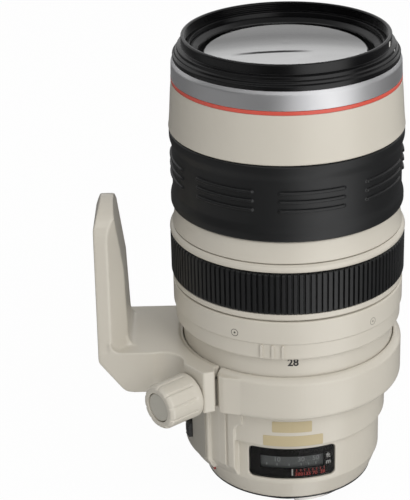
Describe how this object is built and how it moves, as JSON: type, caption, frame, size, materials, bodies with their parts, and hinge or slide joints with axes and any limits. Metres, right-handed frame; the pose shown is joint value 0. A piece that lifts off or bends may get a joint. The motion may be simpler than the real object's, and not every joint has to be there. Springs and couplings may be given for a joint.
{
  "type": "camera zoom lens",
  "caption": "Push-pull telephoto zoom lens with ribbed and smooth rubber rings, a distance window, slide switches, a bayonet rear mount and a hinged tripod collar with an upright foot.",
  "frame": {"origin": "centre of the bayonet mount's seating face, on the optical axis", "axes": "+Z along the optical axis towards the subject, -Y towards the distance window, -X towards the tripod foot"},
  "size_m": [0.1215, 0.0959, 0.1896],
  "materials": {
    "paint": "satin",
    "black_metal": "matt",
    "black_plastic": "matt",
    "rubber": "moulded",
    "steel": "turned",
    "aluminium": "turned",
    "brass": "turned",
    "glass": "polished and coated",
    "clear_plastic": "smoked and glossy",
    "grey_plastic": "satin",
    "red_plastic": "glossy",
    "board": "lacquered",
    "felt": "felted"
  },
  "bodies": {
    "base": {"mount_flange": "steel", "mount_screws": "steel", "mount_gasket": "rubber", "rear_baffle": "black_metal", "rear_lens": "glass", "contact_block": "black_plastic", "contact_pins": "brass", "mount_index": "red_plastic", "rear_barrel": "paint", "distance_window": "clear_plastic", "switch_plate": "grey_plastic", "circuit_board": "board", "rear_sleeve": "black_metal", "motor_stator": "aluminium", "fixed_barrel": "paint", "guide_tube": "aluminium"},
    "rotor": {"motor_rotor": "brass"},
    "scale_drum": {"distance_scale": "black_plastic"},
    "focus_group": {"focus_cell": "black_metal", "focus_lens": "glass"},
    "af_slider": {"af_switch": "black_plastic"},
    "stabilizer_slider": {"stabilizer_switch": "black_plastic"},
    "mode_slider": {"mode_switch": "black_plastic"},
    "cam": {"cam_tube": "brass"},
    "variator": {"variator_cell": "black_metal", "variator_lens": "glass"},
    "relay": {"relay_cell": "black_metal", "relay_lens": "glass", "iris_housing": "black_metal"},
    "shift_frame": {"stabilizer_frame": "aluminium"},
    "shift_lens": {"stabilizer_lens": "glass"},
    "iris": {"iris_ring": "black_metal"},
    "collar": {"tripod_collar": "paint", "tripod_bush": "brass", "hinge_pin": "steel"},
    "gate": {"collar_gate": "paint"},
    "knob": {"lock_knob": "paint", "knob_cap": "grey_plastic", "lock_screw": "steel"},
    "zoom_unit": {"zoom_tube": "black_metal", "zoom_rollers": "steel", "grip_tube": "black_metal", "brake_band": "felt", "index_sleeve": "paint", "grip_skirt": "paint", "front_barrel": "paint", "accent_ring": "red_plastic", "name_ring": "aluminium", "front_cell": "black_metal", "inner_front_lens": "glass", "front_lens": "glass", "lens_retainer": "black_metal", "filter_ring": "black_metal"},
    "focus_ring": {"focus_sleeve": "black_metal", "focus_grip": "rubber"},
    "brake_ring": {"tension_ring": "paint", "tension_grip": "rubber"}
  },
  "joints": [
    {"name": "zoom_slide", "type": "slide", "parent": "base", "child": "zoom_unit", "axis": [0, 0, 1], "range_m": [0, 0.068]},
    {"name": "focus_turn", "type": "hinge", "parent": "zoom_unit", "child": "focus_ring", "pos_m": [0, 0, 0.1324], "axis": [0, 0, 1], "range_deg": [-75, 75]},
    {"name": "brake_turn", "type": "hinge", "parent": "zoom_unit", "child": "brake_ring", "pos_m": [0, 0, 0.0966], "axis": [0, 0, 1], "range_deg": [0, 80]},
    {"name": "collar_turn", "type": "hinge", "parent": "base", "child": "collar", "pos_m": [0, 0, 0.051], "axis": [0, 0, 1], "continuous": true},
    {"name": "gate_open", "type": "hinge", "parent": "collar", "child": "gate", "pos_m": [0.03847, 0.02595, 0.051], "axis": [0, 0, 1], "range_deg": [0, 35]},
    {"name": "knob_turn", "type": "hinge", "parent": "collar", "child": "knob", "pos_m": [-0.03968, -0.0333, 0.0485], "axis": [-0.766, -0.6428, 0], "range_deg": [0, 540]},
    {"name": "af_slide", "type": "slide", "parent": "base", "child": "af_slider", "axis": [0, 0, 1], "range_m": [0, 0.003]},
    {"name": "stabilizer_slide", "type": "slide", "parent": "base", "child": "stabilizer_slider", "axis": [0, 0, 1], "range_m": [0, 0.003]},
    {"name": "mode_slide", "type": "slide", "parent": "base", "child": "mode_slider", "axis": [0, 0, 1], "range_m": [0, 0.003]},
    {"name": "cam_turn", "type": "hinge", "parent": "base", "child": "cam", "pos_m": [0, 0, 0.0863], "axis": [0, 0, 1], "range_deg": [-45.2, 0]},
    {"name": "variator_slide", "type": "slide", "parent": "base", "child": "variator", "axis": [0, 0, 1], "range_m": [0, 0.01005]},
    {"name": "relay_slide", "type": "slide", "parent": "base", "child": "relay", "axis": [0, 0, 1], "range_m": [0, 0.02405]},
    {"name": "scale_turn", "type": "hinge", "parent": "base", "child": "scale_drum", "pos_m": [0, 0, 0.019], "axis": [0, 0, 1], "range_deg": [-31, 31]},
    {"name": "rotor_turn", "type": "hinge", "parent": "base", "child": "rotor", "pos_m": [0, 0, 0.033], "axis": [0, 0, 1], "range_deg": [-31, 31]},
    {"name": "focus_slide", "type": "slide", "parent": "base", "child": "focus_group", "axis": [0, 0, 1], "range_m": [-0.002, 0.002]},
    {"name": "shift_x", "type": "slide", "parent": "relay", "child": "shift_frame", "axis": [1, 0, 0], "range_m": [-0.0006, 0.0006]},
    {"name": "shift_y", "type": "slide", "parent": "shift_frame", "child": "shift_lens", "axis": [0, 1, 0], "range_m": [-0.0006, 0.0006]},
    {"name": "iris_turn", "type": "hinge", "parent": "relay", "child": "iris", "pos_m": [0, 0, 0.075], "axis": [0, 0, 1], "range_deg": [0, 50]}
  ],
  "couplings": [
    {"joint": "cam_turn", "follows": "zoom_slide", "rad_per_m": -11.55},
    {"joint": "variator_slide", "follows": "zoom_slide", "ratio": 0.14706},
    {"joint": "relay_slide", "follows": "zoom_slide", "ratio": 0.35294},
    {"joint": "scale_turn", "follows": "focus_turn", "ratio": 0.4},
    {"joint": "rotor_turn", "follows": "focus_turn", "ratio": 0.4},
    {"joint": "focus_slide", "follows": "focus_turn", "m_per_rad": 0.0015}
  ]
}
